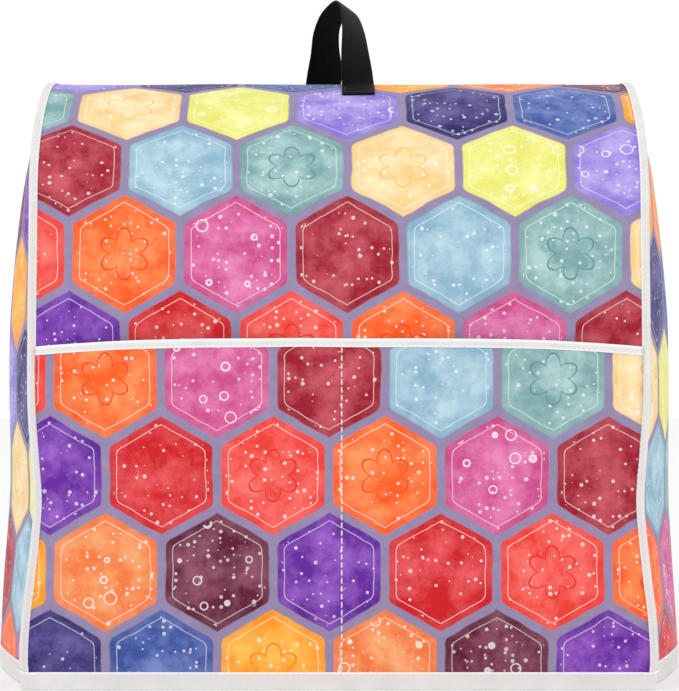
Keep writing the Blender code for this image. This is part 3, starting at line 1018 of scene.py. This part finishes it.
def strip_hem(way, across):
    """The hem's legs over the strip: a function that gives a leg's point at a height, and the legs' top."""

    def leg(outward, height):
        place = strip_point(across, way * (WALL_RUN - height))
        return place + Vector((0, way, 0)) * (strip_outer(way) if outward else -BOUND)

    return leg, HEM_STRIP_TOP


def side_hem(side, across):
    """The same over a side panel, square to its curve as seen from above."""

    def leg(outward, height):
        run = WALL_RUN - height
        before = side_point(side, across - HEM_LOOK_ASIDE, run)
        after = side_point(side, across + HEM_LOOK_ASIDE, run)
        along = (after - before).normalized()
        out = Vector((along.y, -along.x, 0)) * side
        return side_point(side, across, run) + out * (BOUND if outward else -BOUND)

    return leg, HEM_SIDE_TOP


def corner_hem(side, way):
    """The same round a corner, in order from the strip: the outer leg goes on round the raised seam."""
    strip_foot = (strip_outer(way) - SEAM_REACH * math.sin(WALL_LEAN)) / math.cos(WALL_LEAN)
    side_foot = (BOUND - SEAM_REACH * math.cos(WALL_LEAN)) / math.sin(WALL_LEAN)
    reach = SEAM_REACH + HEM_SEAM_CLEAR
    outer = fold_points(reach, SEAM_TIP + HEM_SEAM_CLEAR)
    outer = [(strip_foot + HEM_SEAM_CLEAR, reach), *outer, (side_foot + HEM_SEAM_CLEAR, -reach)]
    made = []
    for index, (along, across) in enumerate(outer):
        share = index / (len(outer) - 1)
        aside = -BOUND - HEM_CORNER * max(1 - 2 * share, 0)
        out = -BOUND - HEM_CORNER * max(2 * share - 1, 0)

        def leg(outward, height, along=along, across=across, aside=aside, out=out):
            run = way * (WALL_RUN - height)
            if outward:
                return seam_point(run, side, along, across)
            return seam_point(run, side, 0, 0) + Vector((side * aside, way * out, 0))

        made.append((leg, HEM_STRIP_TOP + (HEM_SIDE_TOP - HEM_STRIP_TOP) * share))
    return made


def hem_ring():
    """The hem's stations all round, from the left end of the front, with the first one again at the end."""
    strip = steps(-HEM_STRIP_END, HEM_STRIP_END, HEM_STRIP_COLUMNS)
    side = steps(-HEM_SIDE_END, HEM_SIDE_END, 2 * HEM_SIDE_COLUMNS)
    strip_back = steps(HEM_STRIP_END, -HEM_STRIP_END, HEM_STRIP_COLUMNS)
    side_back = steps(HEM_SIDE_END, -HEM_SIDE_END, 2 * HEM_SIDE_COLUMNS)
    ring = [strip_hem(-1, across) for across in strip] + corner_hem(1, -1)
    ring += [side_hem(1, across) for across in side] + corner_hem(1, 1)[::-1]
    ring += [strip_hem(1, across) for across in strip_back] + corner_hem(-1, 1)
    ring += [side_hem(-1, across) for across in side_back] + corner_hem(-1, -1)[::-1]
    return ring + ring[:1]


def make_hem(look, thread):
    """Tape folded round the whole bottom edge, in one closed ring."""
    ring = hem_ring()
    low = TAPE / 2
    lengths = [0.0]
    for (leg, _), (following, _) in zip(ring, ring[1:]):
        lengths.append(lengths[-1] + (following(True, 0) - leg(True, 0)).length)

    def place(line, station):
        leg, top = ring[station]
        height = low + (top - low) * HEM_SECTION[line].share
        point = leg(HEM_SECTION[line].outward, height)
        point.z = height
        return point

    lines = range(len(HEM_SECTION))
    piece = sheet(
        "hem_tape", "hem_binding", lines, range(len(ring)), place, TAPE, look,
        lambda line, station, point: (ring[station][1] - point.z, lengths[station]),
    )
    stand_on_floor(piece)
    path = []
    for (leg, top), (following, _) in zip(ring, ring[1:]):
        height = top - HEM_STITCH_INSET
        point, after = leg(True, height), following(True, height)
        point.z = height
        along = after - point
        out = Vector((along.y, -along.x, 0)).normalized()
        path.append((point + out * TAPE / 2, out))
    row = sew("hem_stitches", path, thread)


def make_pocket_seam(thread):
    """The stitched line that parts the pocket, from its tape down to the hem's tape."""
    top = pocket_height(0.0)
    path = []
    for height in steps(top - POCKET_TAPE_LEG, HEM_STRIP_TOP, PARTING_STEPS):
        point = pocket_point(0.0, top - height, CLOTH / 2)
        path.append((point + Vector((PARTING_ASIDE, 0, 0)), Vector((0, -1, 0))))
    sew("pocket_parting_stitches", path, thread, LONG_STITCH, LONG_STITCH_SPACE, THICK_THREAD)


def foot_box(start, end):
    """The path of the stitched box on one foot of the strap, between two places counted in stations."""
    half = BOX_HALF_WIDTH
    corners = [(-half, start), (half, start), (half, end), (-half, end)]
    path = []
    for (across, place), (next_across, next_place) in zip(corners, corners[1:] + corners[:1]):
        for share in steps(0, 1, BOX_STEPS)[:-1]:
            point = strap_point(across + (next_across - across) * share, place + (next_place - place) * share)
            path.append((point + Vector((0, 0, WEBBING / 2)), Vector((0, 0, 1))))
    return path + path[:1]


def make_strap(look, thread):
    """The webbing loop, with a stitched box on each foot."""
    last = len(STRAP) - 1
    places = steps(0, last, STRAP_STEPS * last)
    lengths = {0.0: 0.0}
    total = 0.0
    for before, after in zip(places, places[1:]):
        total += (strap_point(0, after) - strap_point(0, before)).length
        lengths[after] = total
    columns = steps(-1, 1, STRAP_COLUMNS)
    piece = sheet(
        "loop_webbing", "handle_strap", columns, places, strap_point, WEBBING, look,
        lambda across, place, point: (across * STRAP_HALF_WIDTH, lengths[place]),
    )
    bevel = piece.modifiers.new("edges", "BEVEL")
    bevel.width = STRAP_EDGE
    bevel.segments = STRAP_EDGE_STEPS
    bevel.limit_method = "ANGLE"
    front = sew("loop_stitches_front", foot_box(BOX_START, BOX_END), thread)
    back = sew("loop_stitches_back", foot_box(last - BOX_START, last - BOX_END), thread)


# Stage


def add_lamp(lamp):
    """A soft rectangular lamp, turned towards the cover."""
    data = bpy.data.lights.new(lamp.name, "AREA")
    data.shape = "RECTANGLE"
    data.size, data.size_y = lamp.size
    data.energy = lamp.power
    holder = bpy.data.objects.new(lamp.name, data)
    holder.location = lamp.place
    holder.rotation_euler = (Vector(LAMP_TARGET) - Vector(lamp.place)).to_track_quat("-Z", "Y").to_euler()
    bpy.context.scene.collection.objects.link(holder)


def make_stage():
    """A plain pale floor, even white light from all round, and two weak lamps."""
    mesh = bpy.data.meshes.new("floor")
    form = bmesh.new()
    bmesh.ops.create_grid(form, x_segments=1, y_segments=1, size=FLOOR_HALF_SIDE)
    form.to_mesh(mesh)
    form.free()
    nodes = Nodes("pale_floor")
    nodes.set(Base_Color=FLOOR_COLOUR, Roughness=0.9, Specular_IOR_Level=0.1)
    mesh.materials.append(nodes.material)
    floor = bpy.data.objects.new("floor", mesh)
    bpy.context.scene.collection.objects.link(floor)
    world = bpy.data.worlds.new("studio")
    world.use_nodes = True
    background = world.node_tree.nodes["Background"]
    background.inputs["Color"].default_value = WHITE
    background.inputs["Strength"].default_value = 1.0
    bpy.context.scene.world = world
    for lamp in LAMPS:
        add_lamp(lamp)
    bpy.context.scene.view_settings.view_transform = "Standard"


def make_camera():
    """The photo's camera. Its shift is only what the photo's framing needs."""
    data = bpy.data.cameras.new("camera")
    data.sensor_width = SENSOR
    data.lens = FOCAL_PIXELS / IMAGE_HEIGHT * SENSOR
    data.shift_x = (IMAGE_WIDTH / 2 - CENTRE_COLUMN) / IMAGE_HEIGHT
    data.shift_y = (HORIZON_ROW - IMAGE_HEIGHT / 2) / IMAGE_HEIGHT
    data.clip_start = CLIP_START
    camera = bpy.data.objects.new("camera", data)
    camera.location = (0, -CAMERA_DEPTH, CAMERA_HEIGHT)
    camera.rotation_euler = (math.pi / 2, 0, 0)
    bpy.context.scene.collection.objects.link(camera)
    bpy.context.scene.camera = camera


def main():
    make_camera()
    make_stage()
    print_wrap = make_print("print_wrap", WRAP_SHIFT)
    print_pocket = make_print("print_pocket", POCKET_SHIFT)
    print_sides = make_print("print_sides", SIDE_SHIFT)
    tape = make_tape()
    white_thread = make_thread("white_thread", srgb(*WHITE_THREAD))
    black_thread = make_thread("black_thread", BLACK_THREAD)
    make_strip(print_wrap)
    make_side_panel("side_cloth_left", "side_panel_left", -1, print_sides)
    make_side_panel("side_cloth_right", "side_panel_right", 1, print_sides)
    make_pocket(print_pocket)
    make_pocket_tape(tape, white_thread)
    make_seam_tape("seam_tape_left", "seam_binding_left", -1, tape, white_thread)
    make_seam_tape("seam_tape_right", "seam_binding_right", 1, tape, white_thread)
    make_hem(tape, white_thread)
    make_pocket_seam(white_thread)
    make_strap(make_webbing(), black_thread)


main()
